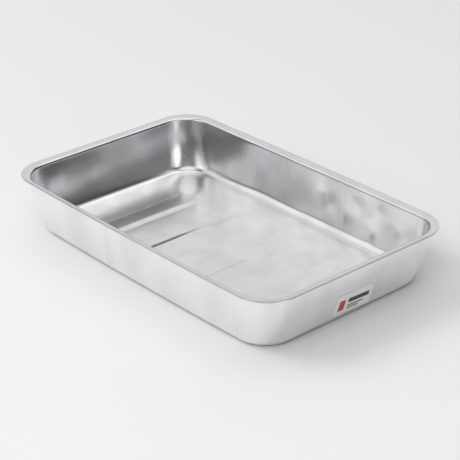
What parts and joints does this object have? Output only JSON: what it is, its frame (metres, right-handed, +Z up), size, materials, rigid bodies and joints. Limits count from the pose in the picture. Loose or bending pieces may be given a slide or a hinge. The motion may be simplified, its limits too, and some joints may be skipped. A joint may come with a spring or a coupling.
{
  "type": "shallow pressed tray",
  "caption": "Shallow rectangular pan pressed from one aluminium sheet, with bowed walls, a flared lip, raised floor ribs and a small label on one end wall.",
  "frame": {"origin": "centre of the underside, on the surface the tray stands on", "axes": "+X along the tray towards the labelled end, +Y across it, +Z up out of the open top"},
  "size_m": [0.3304, 0.2054, 0.0502],
  "materials": {
    "aluminium_sheet": "satin",
    "label_paper": "satin"
  },
  "bodies": {
    "root": {"pressed_tray": "aluminium_sheet", "adhesive_label": "label_paper"}
  },
  "joints": []
}
